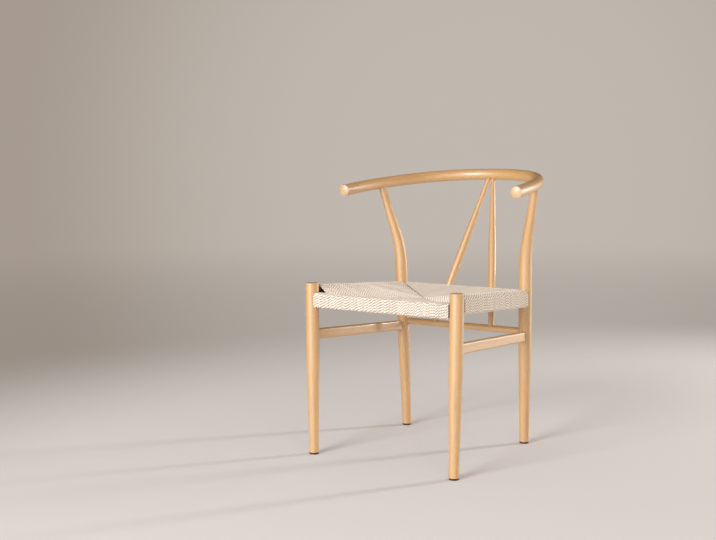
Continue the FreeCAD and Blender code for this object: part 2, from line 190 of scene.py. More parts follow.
# %% Beech grain as a node group
WHITE = (1.0, 1.0, 1.0)
GRAIN_PALE = (0.650, 0.375, 0.140)
GRAIN_WARM = (0.580, 0.305, 0.095)
GRAIN_FLECK = (0.42, 0.190, 0.070)
BAND_SCALE = (70, 2.2)
BAND_DETAIL = 3.0
BAND_DISTORTION = 0.4
BAND_STOPS = [(0.30, GRAIN_WARM), (0.47, GRAIN_PALE), (0.56, GRAIN_PALE), (0.72, GRAIN_WARM)]
FIBRE_SCALE = (900, 22)
FIBRE_STOPS = [(0.3, (0.86, 0.84, 0.82)), (0.7, WHITE)]
FLECK_SCALE = (620, 95)
FLECK_DETAIL = 1.0
FLECK_LIMITS = {"From Min": 0.64, "From Max": 0.76, "To Max": 0.55}


def beech_group():
    """Node group: a vector along the grain in, a colour and a height out."""
    group = bpy.data.node_groups.new("beech_grain", "ShaderNodeTree")
    group.interface.new_socket("Grain", in_out="INPUT", socket_type="NodeSocketVector")
    group.interface.new_socket("Color", in_out="OUTPUT", socket_type="NodeSocketColor")
    group.interface.new_socket("Height", in_out="OUTPUT", socket_type="NodeSocketFloat")
    grain = group.nodes.new("NodeGroupInput").outputs["Grain"]

    def stretched(across, along):
        values = {"Vector": grain, "Scale": (across, across, along)}
        return add_node(group, "ShaderNodeMapping", values).outputs[0]

    bands = noise(group, stretched(*BAND_SCALE), detail=BAND_DETAIL, distortion=BAND_DISTORTION)
    fibres = noise(group, stretched(*FIBRE_SCALE))
    flecks = noise(group, stretched(*FLECK_SCALE), detail=FLECK_DETAIL)
    base = ramp(group, bands, BAND_STOPS)
    fibred = mixed(group, 1.0, base, ramp(group, fibres, FIBRE_STOPS), "MULTIPLY")
    fleck_mask = map_range(group, flecks, FLECK_LIMITS)
    flecked = mixed(group, fleck_mask, fibred, GRAIN_FLECK)
    height = math_node(group, "SUBTRACT", fibres, fleck_mask)
    output = group.nodes.new("NodeGroupOutput")
    group.links.new(flecked, output.inputs["Color"])
    group.links.new(height, output.inputs["Height"])
    return group


beech = beech_group()
print("grain group has", len(beech.nodes), "nodes")

# %% [markdown]
# The lacquer over the grain is the same everywhere: a broad milky shine, which makes the lit sides
# paler, under a thin coat with the long soft glints along the tubes. Both are set on the shader's
# own sockets, here and for the caps. The grain's height becomes a very shallow bump, a few
# hundredths of a millimetre, so that the glints break up a little along the fibres.

# %% Lacquered beech
LACQUER = {"Roughness": 0.50, "IOR": 1.75, "Specular IOR Level": 1.0,
           "Coat Weight": 0.35, "Coat Roughness": 0.18}
GRAIN_DEPTH = 0.00004
GRAIN_STRENGTH = 0.6


def lacquered(name, make_grain):
    """Lacquered beech whose grain vector is made by make_grain(tree)."""
    material, tree, shader = new_material(name)
    grain = add_node(tree, "ShaderNodeGroup", node_tree=beech)
    tree.links.new(make_grain(tree), grain.inputs["Grain"])
    tree.links.new(grain.outputs["Color"], shader.inputs["Base Color"])
    roughen(tree, shader, grain.outputs["Height"], GRAIN_STRENGTH, GRAIN_DEPTH)
    set_inputs(shader, LACQUER)
    return material


def along(direction):
    """A maker of a grain vector for a straight piece that runs in a direction."""
    turn = Vector(direction).to_track_quat("Z", "Y").to_euler()

    def make_grain(tree):
        values = {"Vector": own_place(tree), "Rotation": turn}
        return add_node(tree, "ShaderNodeMapping", values, vector_type="TEXTURE").outputs[0]

    return make_grain


def wear(node_name, material):
    """Gives a loaded solid its finish."""
    mesh = nodes[node_name].data
    mesh.materials.clear()
    mesh.materials.append(material)


upright_beech = lacquered("beech_upright", along((0, 0, 1)))
for side in ("left", "right"):
    wear("front_leg_" + side, upright_beech)
print("front legs finished with", upright_beech.name)

# %% [markdown]
# Stretchers and rods are straight too, but each lies its own way. Its direction is read from the
# box of its solid: the diagonal of the box, less the thickness of a side stretcher, is close enough
# for grain.

# %% Stretchers and rods
SIDE_STRETCHER_WIDTH = 0.016
SIDE_STRETCHER_HEIGHT = 0.028

wear("rear_stretcher", lacquered("beech_rear_stretcher", along((1, 0, 0))))
for side, sign in (("left", -1), ("right", 1)):
    low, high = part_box("side_stretcher_" + side)
    size = high - low
    lean = Vector((-sign * (size.x - SIDE_STRETCHER_WIDTH), size.y, SIDE_STRETCHER_HEIGHT - size.z))
    wear("side_stretcher_" + side, lacquered("beech_side_stretcher_" + side, along(lean)))
    low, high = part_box("back_rod_" + side)
    size = high - low
    rise = Vector((-sign * size.x, size.y, size.z))
    wear("back_rod_" + side, lacquered("beech_rod_" + side, along(rise)))
print("side stretcher", [round(c, 3) for c in lean], "rod", [round(c, 3) for c in rise])

# %% [markdown]
# A rear leg is straight up to its bend and then leans out and forward. Above the bend the grain
# vector is therefore sheared: it slides back by the lean times the height above the bend. Both legs
# share the material, because the sideways lean is multiplied by the sign of x.

# %% Rear legs
LEG_BEND_HEIGHT = 0.533
LEG_LEAN_OUT = 0.244
LEG_LEAN_FORWARD = -0.204


def leg_grain(tree):
    """Grain vector of the rear legs, sheared above their bend."""
    parts = add_node(tree, "ShaderNodeSeparateXYZ", {0: own_place(tree)}).outputs
    over_bend = math_node(tree, "SUBTRACT", parts["Z"], LEG_BEND_HEIGHT)
    above = math_node(tree, "MAXIMUM", over_bend, 0.0)
    outwards = math_node(tree, "MULTIPLY", math_node(tree, "SIGN", parts["X"]), LEG_LEAN_OUT)
    slide_x = math_node(tree, "MULTIPLY", above, outwards)
    slide_y = math_node(tree, "MULTIPLY", above, LEG_LEAN_FORWARD)
    across = math_node(tree, "SUBTRACT", parts["X"], slide_x)
    forward = math_node(tree, "SUBTRACT", parts["Y"], slide_y)
    grain_parts = {0: across, 1: forward, 2: parts["Z"]}
    return add_node(tree, "ShaderNodeCombineXYZ", grain_parts).outputs[0]


rear_leg_beech = lacquered("beech_rear_leg", leg_grain)
for side in ("left", "right"):
    wear("rear_leg_" + side, rear_leg_beech)
print("rear legs finished with", rear_leg_beech.name)

# %% [markdown]
# The horseshoe rail is bent, and its grain follows the bend. Seen square to its own plane, which is
# tilted, the rail is two kinds of arc: a tight one round the back and a wide one along each arm.
# For a point on such an arc the grain vector is easy: how far it lies from the arc's line, how far
# out of the plane, and how far along. So the shader tilts the coordinates flat, measures angle and
# distance about both centres, and picks the right pair by the angle at which the two arcs meet.

# %% Horseshoe rail
RAIL_TILT = math.radians(6.9)
RAIL_BACK_RADIUS = 0.2384
RAIL_ARM_RADIUS = 0.455
RAIL_MEETING_ANGLE = math.radians(60.7)
RAIL_RADIUS = 0.016

rail_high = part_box("arm_rail")[1]
rail_back = Vector((0, rail_high.y - RAIL_RADIUS, rail_high.z - RAIL_RADIUS))
back_to_arm_centre = RAIL_BACK_RADIUS - RAIL_ARM_RADIUS


def rail_grain(tree):
    """Grain vector along the horseshoe rail."""
    flat_values = {"Vector": own_place(tree), "Location": rail_back, "Rotation": (RAIL_TILT, 0, 0)}
    flat = add_node(tree, "ShaderNodeMapping", flat_values, vector_type="TEXTURE").outputs[0]
    parts = add_node(tree, "ShaderNodeSeparateXYZ", {0: flat}).outputs
    sideways = math_node(tree, "ABSOLUTE", parts["X"])
    backwards_from_centre = math_node(tree, "ADD", parts["Y"], RAIL_BACK_RADIUS)

    def about(centre_x, centre_y, radius):
        """Angle about a centre, distance from the arc, for the right half."""
        over = math_node(tree, "SUBTRACT", sideways, centre_x)
        back = math_node(tree, "SUBTRACT", backwards_from_centre, centre_y)
        angle = math_node(tree, "ARCTAN2", over, back)
        square = math_node(tree, "ADD", math_node(tree, "MULTIPLY", over, over),
                           math_node(tree, "MULTIPLY", back, back))
        gap = math_node(tree, "SUBTRACT", math_node(tree, "SQRT", square), radius)
        return angle, gap

    back_angle, back_gap = about(0.0, 0.0, RAIL_BACK_RADIUS)
    arm_angle, arm_gap = about(back_to_arm_centre * math.sin(RAIL_MEETING_ANGLE),
                               back_to_arm_centre * math.cos(RAIL_MEETING_ANGLE), RAIL_ARM_RADIUS)
    on_arm = math_node(tree, "GREATER_THAN", back_angle, RAIL_MEETING_ANGLE)
    back_turn = math_node(tree, "MINIMUM", back_angle, RAIL_MEETING_ANGLE)
    back_run = math_node(tree, "MULTIPLY", back_turn, RAIL_BACK_RADIUS)
    past_meeting = math_node(tree, "SUBTRACT", arm_angle, RAIL_MEETING_ANGLE)
    arm_turn = math_node(tree, "MAXIMUM", past_meeting, 0.0)
    arm_run = math_node(tree, "MULTIPLY", arm_turn, RAIL_ARM_RADIUS)
    run = math_node(tree, "ADD", back_run, arm_run)
    signed_run = math_node(tree, "MULTIPLY", run, math_node(tree, "SIGN", parts["X"]))
    extra_gap = math_node(tree, "MULTIPLY", on_arm, math_node(tree, "SUBTRACT", arm_gap, back_gap))
    gap = math_node(tree, "ADD", back_gap, extra_gap)
    grain_parts = {0: gap, 1: parts["Z"], 2: signed_run}
    return add_node(tree, "ShaderNodeCombineXYZ", grain_parts).outputs[0]


rail_beech = lacquered("beech_rail", rail_grain)
wear("arm_rail", rail_beech)
print("rail back at", [round(c, 4) for c in rail_back])

# %% [markdown]
# The arms and front legs end in caps. They are paler than the tubes, with the faint rings of cut
# wood instead of long grain. A wave texture in rings gives those. Their middle lies a little off
# the cap's own, as the heart of a stem seldom lies in the middle of a piece cut from it.

# %% Caps
CAP_PALE = (0.66, 0.44, 0.24)
CAP_RING = (0.60, 0.37, 0.17)
RING_STOPS = [(0.25, CAP_PALE), (0.9, CAP_RING)]
RING_WAVE = {"Scale": 160.0, "Distortion": 3.0, "Detail": 2.0, "Detail Scale": 0.4}
RING_OFFSET = (0.006, -0.004, 0.0)
PORE_SCALE = 2600
PORE_STOPS = [(0.35, (0.88, 0.86, 0.84)), (0.6, WHITE)]
PORE_STRENGTH = 0.5


def cap_finish(name, middle, facing):
    """Pale cap with faint rings."""
    material, tree, shader = new_material(name)
    turn = Vector(facing).to_track_quat("Z", "Y").to_euler()
    offset = Vector(RING_OFFSET)
    offset.rotate(turn)
    values = {"Vector": own_place(tree), "Location": middle + offset, "Rotation": turn}
    flat = add_node(tree, "ShaderNodeMapping", values, vector_type="TEXTURE").outputs[0]
    rings = add_node(tree, "ShaderNodeTexWave", {"Vector": flat, **RING_WAVE},
                     wave_type="RINGS", rings_direction="Z")
    pores = noise(tree, flat, scale=PORE_SCALE)
    colour = ramp(tree, rings.outputs["Fac"], RING_STOPS)
    pored = mixed(tree, 1.0, colour, ramp(tree, pores, PORE_STOPS), "MULTIPLY")
    tree.links.new(pored, shader.inputs["Base Color"])
    roughen(tree, shader, pores, PORE_STRENGTH, GRAIN_DEPTH)
    set_inputs(shader, LACQUER)
    return material


for side in ("left", "right"):
    for cap, facing in (("arm_cap_", (0, -1, 0)), ("front_leg_cap_", (0, 0, 1))):
        low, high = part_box(cap + side)
        wear(cap + side, cap_finish(cap + side + "_finish", (low + high) / 2, facing))
print("caps finished")

# %% [markdown]
# The glides are black moulded plastic. They are matt, with the fine even grain that a spark-worn
# mould leaves. Nothing more is seen of them, so the finish is short.

# %% Glides
GLIDE_BLACK = (0.018, 0.017, 0.016)
GLIDE_WORN = (0.045, 0.043, 0.040)
GLIDE_SURFACE = {"Roughness": 0.5}
SCUFF_SCALE = 300
SCUFF_DETAIL = 4.0
SCUFF_STOPS = [(0.5, GLIDE_BLACK), (0.75, GLIDE_WORN)]
MOULD_SCALE = 3500
MOULD_DETAIL = 1.0
MOULD_DEPTH = 0.0001
MOULD_STRENGTH = 0.4

glide_finish, tree, shader = new_material("glide_black")
scuffs = noise(tree, own_place(tree), scale=SCUFF_SCALE, detail=SCUFF_DETAIL)
tree.links.new(ramp(tree, scuffs, SCUFF_STOPS), shader.inputs["Base Color"])
mould_grain = noise(tree, own_place(tree), scale=MOULD_SCALE, detail=MOULD_DETAIL)
roughen(tree, shader, mould_grain, MOULD_STRENGTH, MOULD_DEPTH)
set_inputs(shader, GLIDE_SURFACE)
for end in ("front_", "rear_"):
    for side in ("left", "right"):
        wear("glide_" + end + side, glide_finish)
print("glides finished")

# %% [markdown]
# The seat is the main work. On the real chair one long cord is wound over a rail, brought up
# inside, turned a quarter and wound over the next rail. That leaves four panels of parallel cords
# which meet along the seat's diagonals. Each visible loop is made here as one strand: from the seam
# across the top, round the rail and back underneath to the seam. The strands of two neighbouring
# panels share their places along the seam, as they do on the real seat, and one of each pair passes
# over.
#
# First the four rails that the cord is wound on. Their lines are read from the boxes of the solids.

# %% Rails under the cord
CORD_DIAMETER = 0.004
RAIL_WIDTH = 0.025
CROSS_RAIL_HEIGHT = 0.030
SIDE_RAIL_HEIGHT = 0.040
RAIL_EDGE = 0.002
SIDE_RAIL_CROWN = 0.012
SIDE_RAIL_KEEL = 0.005
cord_radius = CORD_DIAMETER / 2


def seat_rail(name, height, inward, radii, start, end):
    """What the strands need to know of a rail."""
    return {"name": name, "height": height, "inward": Vector(inward), "radii": radii,
            "start": start, "end": end, "cross": name in ("front", "rear")}


def read_rails():
    """The four seat rails, with two points of each centre line."""
    rails = {}
    cross_radii = (RAIL_EDGE, RAIL_EDGE)
    side_radii = (SIDE_RAIL_CROWN, SIDE_RAIL_KEEL)
    for name, inward in (("front", (0, 1, 0)), ("rear", (0, -1, 0))):
        low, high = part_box("seat_rail_" + name)
        middle = (low + high) / 2
        start = Vector((low.x, middle.y, middle.z))
        end = Vector((high.x, middle.y, middle.z))
        rails[name] = seat_rail(name, CROSS_RAIL_HEIGHT, inward, cross_radii, start, end)
    for name, sign in (("left", -1), ("right", 1)):
        low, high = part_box("seat_rail_" + name)
        outer = high.x if sign > 0 else low.x
        inner = low.x if sign > 0 else high.x
        start = Vector((outer - sign * RAIL_WIDTH / 2, low.y, high.z - SIDE_RAIL_HEIGHT / 2))
        end = Vector((inner + sign * RAIL_WIDTH / 2, high.y, low.z + SIDE_RAIL_HEIGHT / 2))
        rails[name] = seat_rail(name, SIDE_RAIL_HEIGHT, (-sign, 0, 0), side_radii, start, end)
    return rails


def on_rail(rail, place):
    """Point of a rail's centre line at an x for a cross rail, at a y for a side rail."""
    axis = 0 if rail["cross"] else 1
    share = (place - rail["start"][axis]) / (rail["end"][axis] - rail["start"][axis])
    return rail["start"].lerp(rail["end"], share)


rails = read_rails()
for rail in rails.values():
    print(rail["name"], [round(c, 4) for c in rail["start"]], [round(c, 4) for c in rail["end"]])

# %% [markdown]
# Next the seams. A seam starts in the corner where two bands of cord meet and runs straight, seen
# from above, to the middle of the seat. Seen from the side it sags: steeply near the front corners,
# where the side rails stand higher than the front rail, and evenly from the rear ones.

# %% Seams
SEAT_CENTRE_LEVEL = 0.416
SEAT_CENTRE_THICKNESS = 0.012
FRONT_SEAM_CURVE_POWER = 3.0
REAR_SEAM_CURVE_POWER = 1.3

band_half_width = RAIL_WIDTH / 2 + CORD_DIAMETER
seat_centre = Vector((0, (rails["front"]["start"].y + rails["rear"]["start"].y) / 2, 0))


def band_top(rail, place):
    """Height of the cord's top over a rail."""
    return on_rail(rail, place).z + rail["height"] / 2 + CORD_DIAMETER


def band_bottom(rail, place):
    """Height of the cord's underside below a rail."""
    return on_rail(rail, place).z - rail["height"] / 2 - CORD_DIAMETER


def seam(cross_name, side_name):
    """A function from a share of the way to the centre to the seam's plan, top and bottom there."""
    cross, side = rails[cross_name], rails[side_name]
    y = cross["start"].y + cross["inward"].y * band_half_width
    corner = Vector((on_rail(side, y).x + side["inward"].x * band_half_width, y, 0))
    corner_top = band_top(cross, corner.x)
    corner_bottom = (band_bottom(cross, corner.x) + band_bottom(side, corner.y)) / 2
    centre_bottom = SEAT_CENTRE_LEVEL - SEAT_CENTRE_THICKNESS
    power = FRONT_SEAM_CURVE_POWER if cross_name == "front" else REAR_SEAM_CURVE_POWER

    def at(share):
        plan = corner.lerp(seat_centre, share)
        rise = (1 - share) ** power
        top = SEAT_CENTRE_LEVEL + (corner_top - SEAT_CENTRE_LEVEL) * rise
        bottom = centre_bottom + (corner_bottom - centre_bottom) * rise
        return plan, top, bottom

    return at


for cross_name in ("front", "rear"):
    plan, top, bottom = seam(cross_name, "left")(0.0)
    print(cross_name, "left corner", [round(c, 4) for c in plan], "top", round(top, 4))

# %% [markdown]
# Now one strand. Its line is drawn in the upright plane across its rail, as (inward distance,
# height) pairs: it comes up from between the layers at the seam, runs straight out to the rail,
# goes round the rail's outer edges in arcs, and comes back below. A strand that passes over its
# partner stays high up to the seam and drops there. One that passes under dips before it. At the
# rear seams the rear panel stops short of the side panels. That gap, with painted shade on the
# strand ends that plunge into it, makes the dark line that runs from each rear leg towards the
# middle of the seat.
#
# The ends that plunge between the layers get no light on the real seat. Here the gaps are finer
# than the light can show, so each point of a strand also carries how far it has plunged, and the
# finish paints shade there.
#
# Between the legs the first strands have to pass the round legs. On top they stay clear of them,
# but on the rail's outer face they spread towards them until they touch.

# %% One strand
OVER_REACH = 0.0012
OVER_DROP = 0.0025
SEAM_HALF_WIDTH = 0.0022
LONGEST_DROP_SHARE = 0.9
PLUNGED_POINTS = 2
ARC_STEPS = 5


def arc(centre, radius, start_turn, end_turn):
    """Points of an arc in the strand's plane; turns are in degrees."""
    points = []
    for step in range(ARC_STEPS + 1):
        turn = math.radians(start_turn + (end_turn - start_turn) * step / ARC_STEPS)
        points.append((centre[0] + radius * math.cos(turn), centre[1] + radius * math.sin(turn)))
    return points


def seam_end(reach, level, middle, slope, dip, drop_length):
    """Points from between the layers at the seam out to the panel's face, above or below."""
    down = math.copysign(1, middle - level)
    if dip == 0:
        tip = reach + OVER_REACH
        return [(tip, middle), (tip, level + OVER_DROP * down),
                (tip - OVER_REACH / 2, level + OVER_DROP / 3 * down),
                (reach - SEAM_HALF_WIDTH, level)]
    low = level + min(dip, abs(middle - level)) * down
    return [(reach + SEAM_HALF_WIDTH, middle), (reach + SEAM_HALF_WIDTH / 2, low),
            (reach - SEAM_HALF_WIDTH, low), (reach - drop_length, level - slope * drop_length)]


def strand_line(rail, rail_place, seam_place, top, bottom, dip, gap, drop_length, spread):
    """The strand's whole line, as points of the chair's frame, and how far each has plunged.

    The dip is how much lower it meets the seam, over the drop length, and 0 where it passes over.
    The gap is how far before the seam it ends, and the spread how far it slides on the outer face.
    """
    axis = on_rail(rail, rail_place)
    inward = rail["inward"]
    half_width = RAIL_WIDTH / 2 + cord_radius
    half_height = rail["height"] / 2 + cord_radius
    crown, keel = (radius + cord_radius for radius in rail["radii"])
    reach = (seam_place - axis).dot(inward) - gap
    inner = RAIL_WIDTH / 2 - RAIL_EDGE
    top_level = top - cord_radius - axis.z
    bottom_level = bottom + cord_radius - axis.z
    middle = (top_level + bottom_level) / 2
    top_slope = (top_level - half_height) / (reach - inner)
    bottom_slope = (bottom_level + half_height) / (reach - inner)
    drop_length = min(drop_length, LONGEST_DROP_SHARE * (reach - inner))
    line = seam_end(reach, top_level, middle, top_slope, dip, drop_length)
    line.append((inner, half_height))
    line += arc((crown - half_width, half_height - crown), crown, 90, 180)
    line += arc((keel - half_width, keel - half_height), keel, 180, 270)
    line.append((inner, -half_height))
    line += reversed(seam_end(reach, bottom_level, middle, bottom_slope, dip, drop_length))
    sideways = Vector((1, 0, 0)) if rail["cross"] else Vector((0, 1, 0))
    slide = (seam_place - axis).dot(sideways)
    points = []
    for distance, height in line:
        share = min(max((distance - inner) / (reach - inner), 0.0), 1.0)
        outwards = min(distance / half_width, 0.0)
        offset = slide * share + spread * outwards ** 2
        points.append(axis + inward * distance + sideways * offset + Vector((0, 0, height)))
    ends = [1.0 if dip else 0.0] * PLUNGED_POINTS
    plunges = ends + [0.0] * (len(points) - 2 * PLUNGED_POINTS) + ends
    return points, plunges


print("each arc of a strand has", ARC_STEPS + 1, "points")

# %% [markdown]
# A panel is two fans of strands, one from each of its corners. Near the corners the weaver can't
# keep the cords quite square to the rail: the first ones are pulled towards the middle of the seat,
# which leaves the small dark opening beside each front leg. The pull fades over a few strands, and
# so does their spread on the rail's outer face.
#
# Twisted cord looks beaded, and on a real seat the beads of neighbouring cords fall into slanting
# rows, because they all come from one long cord that is wound evenly. So each strand gets a phase:
# how many beads its twist is ahead. It grows steadily along the rail, counted from the middle of
# the rail's outer face, with a little chance added.
#
# The lines go into one mesh of edges per panel. Each point keeps its strand's number and phase, and
# how far it has plunged.

# %% Strand lines of the four panels
STRANDS_PER_HALF = 46
FIRST_RAIL_SHARE = 0.016
LAST_SEAM_SHARE = 0.995
CORNER_PULL_SHARE = 0.060
CORNER_PULL_STRANDS = 9.0
CROSS_SPREAD = 0.0034
SIDE_SPREAD = 0.0025
SPREAD_STRANDS = 9.0
BEAD_LENGTH = 0.0067
ROW_SPACING = 0.0128
PHASE_CHANCE = 0.25
PHASE_SEED = 7
OVER = {("front", "left"): "left", ("front", "right"): "front",
        ("rear", "right"): "right", ("rear", "left"): "left"}
DIP = {"front": (0.0045, 0.0045), "rear": (0.0020, 0.0020)}
GAP = {"front": (0.0, 0.0), "rear": (0.0085, 0.0050)}
DROP_LENGTH = {"front": 0.012, "rear": 0.2}


def strand_shares(index):
    """Share along the rail and along the seam of a strand, counted from the corner.

    The last strand lies half a step before the middle of the panel.
    """
    last = 1 - 0.5 / STRANDS_PER_HALF
    rail_share = FIRST_RAIL_SHARE + (last - FIRST_RAIL_SHARE) * index / (STRANDS_PER_HALF - 1)
    return rail_share, rail_share + CORNER_PULL_SHARE * math.exp(-index / CORNER_PULL_STRANDS)


def line_length(line):
    """Length of a line through points."""
    return sum((after - before).length for before, after in zip(line, line[1:]))


def panel_lines(name, chance):
    """All strand lines of one panel, how far their points have plunged, and the phase of each."""
    rail = rails[name]
    axis = 0 if rail["cross"] else 1
    lines = []
    plunges = []
    phases = []
    for pair, over in OVER.items():
        if name not in pair:
            continue
        seam_at = seam(*pair)
        centre_side = math.copysign(1, seam_at(0)[0][axis] - seat_centre[axis])
        widest = centre_side * (CROSS_SPREAD if rail["cross"] else SIDE_SPREAD)
        for index in range(STRANDS_PER_HALF):
            rail_share, seam_share = strand_shares(index)
            rail_place = seam_at(rail_share)[0][axis]
            plan, top, bottom = seam_at(min(seam_share, LAST_SEAM_SHARE))
            spread = widest * math.exp(-index / SPREAD_STRANDS)
            dip, gap = 0.0, 0.0
            if over != name:
                dip, gap = (at_corner + (at_centre - at_corner) * rail_share
                            for at_corner, at_centre in (DIP[pair[0]], GAP[pair[0]]))
            line, plunge = strand_line(rail, rail_place, plan, top, bottom, dip, gap,
                                       DROP_LENGTH[pair[0]], spread)
            lines.append(line)
            plunges += plunge
            before_outer_face = line_length(line[:len(line) // 2])
            phases.append(rail_place / ROW_SPACING - before_outer_face / BEAD_LENGTH
                          + chance.uniform(-PHASE_CHANCE, PHASE_CHANCE))
    return lines, plunges, phases


def lines_object(name, lines, plunges, phases):
    """A mesh of edges from the lines, with strand numbers, phases and plunges on its points."""
    points = [point for line in lines for point in line]
    edges = []
    start = 0
    for line in lines:
        edges += [(start + step, start + step + 1) for step in range(len(line) - 1)]
        start += len(line)
    mesh = bpy.data.meshes.new(name)
    mesh.from_pydata(points, edges, [])
    numbers = mesh.attributes.new("strand", "INT", "POINT")
    numbers.data.foreach_set("value", [n for n, line in enumerate(lines) for _ in line])
    ahead = mesh.attributes.new("phase", "FLOAT", "POINT")
    ahead.data.foreach_set("value", [phase for line, phase in zip(lines, phases) for _ in line])
    mesh.attributes.new("plunge", "FLOAT", "POINT").data.foreach_set("value", plunges)
    piece = bpy.data.objects.new(name, mesh)
    bpy.context.scene.collection.objects.link(piece)
    return piece


chance = random.Random(PHASE_SEED)
panel_objects = {}
for name in rails:
    lines, plunges, phases = panel_lines(name, chance)
    panel_objects[name] = lines_object("woven_panel_" + name, lines, plunges, phases)
    length = sum(line_length(line) for line in lines)
    print(name, "panel:", len(lines), "strands,", round(length, 1), "m of cord")

# %% [markdown]
# Paper cord is tightly twisted, and at arm's length its beads are what the eye catches. A plain
# round tube would lose them, and a bump can't give the knobbly outline. So the tree resamples each
# line, sweeps a six-cornered profile along it and then moves the surface out and in by a wave that
# winds round the cord once per bead. The wave needs three things, which are kept on the mesh: how
# far along the strand a point lies, the strand's phase, and which way round the profile the point
# faces.
#
# The finish below uses the same wave to paint shade into the creases, so one function builds it in
# both trees. The tree also gives each strand a random tone and lets it wander by a fraction of a
# millimetre.

# %% Cord tree
PROFILE_CORNERS = 6
WANDER_NOISE = {"Scale": 24.0, "Detail": 1.0}
NOISE_MIDDLE = (0.5, 0.5, 0.5)


def bead_wave(tree, run, phase, around):
    """1 on the crest of a bead, -1 in the crease: the wave that winds round the cord."""
    beads = math_node(tree, "ADD", math_node(tree, "DIVIDE", run, BEAD_LENGTH), phase)
    angle = math_node(tree, "MULTIPLY", beads, 2 * math.pi)
    sides = add_node(tree, "ShaderNodeSeparateXYZ", {0: around}).outputs
    return math_node(tree, "ADD",
                     math_node(tree, "MULTIPLY", math_node(tree, "COSINE", angle), sides["X"]),
                     math_node(tree, "MULTIPLY", math_node(tree, "SINE", angle), sides["Y"]))


def cord_tree():
    """Geometry nodes: lines in, beaded cords out."""
    tree = bpy.data.node_groups.new("beaded_cord", "GeometryNodeTree")
    tree.is_modifier = True
    sockets = {}
    for name, kind in (("Lines", "NodeSocketGeometry"), ("Diameter", "NodeSocketFloat"),
                       ("Relief", "NodeSocketFloat"), ("Ring Spacing", "NodeSocketFloat"),
                       ("Looseness", "NodeSocketFloat"), ("Seed", "NodeSocketInt"),
                       ("Finish", "NodeSocketMaterial")):
        sockets[name] = tree.interface.new_socket(name, in_out="INPUT", socket_type=kind)
    tree.interface.new_socket("Cords", in_out="OUTPUT", socket_type="NodeSocketGeometry")
    given = tree.nodes.new("NodeGroupInput").outputs

    def kept(geometry, name, value, data_type="FLOAT"):
        values = {"Geometry": geometry, "Name": name, "Value": value}
        return add_node(tree, "GeometryNodeStoreNamedAttribute", values,
                        data_type=data_type, domain="POINT").outputs[0]

    def read(name, data_type="FLOAT"):
        return add_node(tree, "GeometryNodeInputNamedAttribute", {"Name": name},
                        data_type=data_type).outputs[0]

    shade = add_node(tree, "FunctionNodeRandomValue", data_type="FLOAT")
    tree.links.new(read("strand", "INT"), shade.inputs["ID"])
    tree.links.new(given["Seed"], shade.inputs["Seed"])
    shade_value = shade.outputs[1]

    curves = add_node(tree, "GeometryNodeMeshToCurve", {"Mesh": given["Lines"]}).outputs[0]
    even = add_node(tree, "GeometryNodeResampleCurve",
                    {"Curve": curves, "Length": given["Ring Spacing"]}, mode="LENGTH").outputs[0]
    place = tree.nodes.new("GeometryNodeInputPosition").outputs[0]
    wave_values = {"Vector": place, "W": shade_value, **WANDER_NOISE}
    waves = add_node(tree, "ShaderNodeTexNoise", wave_values, noise_dimensions="4D")
    centred = vector_node(tree, "SUBTRACT", {0: waves.outputs["Color"], 1: NOISE_MIDDLE})
    wander = vector_node(tree, "SCALE", {0: centred, "Scale": given["Looseness"]})
    loose = add_node(tree, "GeometryNodeSetPosition",
                     {"Geometry": even, "Offset": wander}).outputs[0]
    run = tree.nodes.new("GeometryNodeSplineParameter").outputs["Length"]
    measured = kept(kept(loose, "shade", shade_value), "run", run)

    circle = add_node(tree, "GeometryNodeCurvePrimitiveCircle", {"Resolution": PROFILE_CORNERS},
                      mode="RADIUS")
    tree.links.new(math_node(tree, "DIVIDE", given["Diameter"], 2.0), circle.inputs["Radius"])
    facing = vector_node(tree, "NORMALIZE", {0: place})
    profile = kept(circle.outputs[0], "around", facing, "FLOAT_VECTOR")

    swept = add_node(tree, "GeometryNodeCurveToMesh",
                     {"Curve": measured, "Profile Curve": profile, "Fill Caps": True}).outputs[0]
    wave = bead_wave(tree, read("run"), read("phase"), read("around", "FLOAT_VECTOR"))
    normal = tree.nodes.new("GeometryNodeInputNormal").outputs[0]
    height = math_node(tree, "MULTIPLY", wave, given["Relief"])
    move = vector_node(tree, "SCALE", {0: normal, "Scale": height})
    beaded = add_node(tree, "GeometryNodeSetPosition",
                      {"Geometry": swept, "Offset": move}).outputs[0]
    smooth = add_node(tree, "GeometryNodeSetShadeSmooth", {"Geometry": beaded}).outputs[0]
    real = add_node(tree, "GeometryNodeRealizeInstances", {"Geometry": smooth}).outputs[0]
    finished = add_node(tree, "GeometryNodeSetMaterial",
                        {"Geometry": real, "Material": given["Finish"]}).outputs[0]
    output = tree.nodes.new("NodeGroupOutput")
    tree.links.new(finished, output.inputs[0])
    return tree, sockets


cord_nodes, cord_sockets = cord_tree()
print("cord tree has", len(cord_nodes.nodes), "nodes")
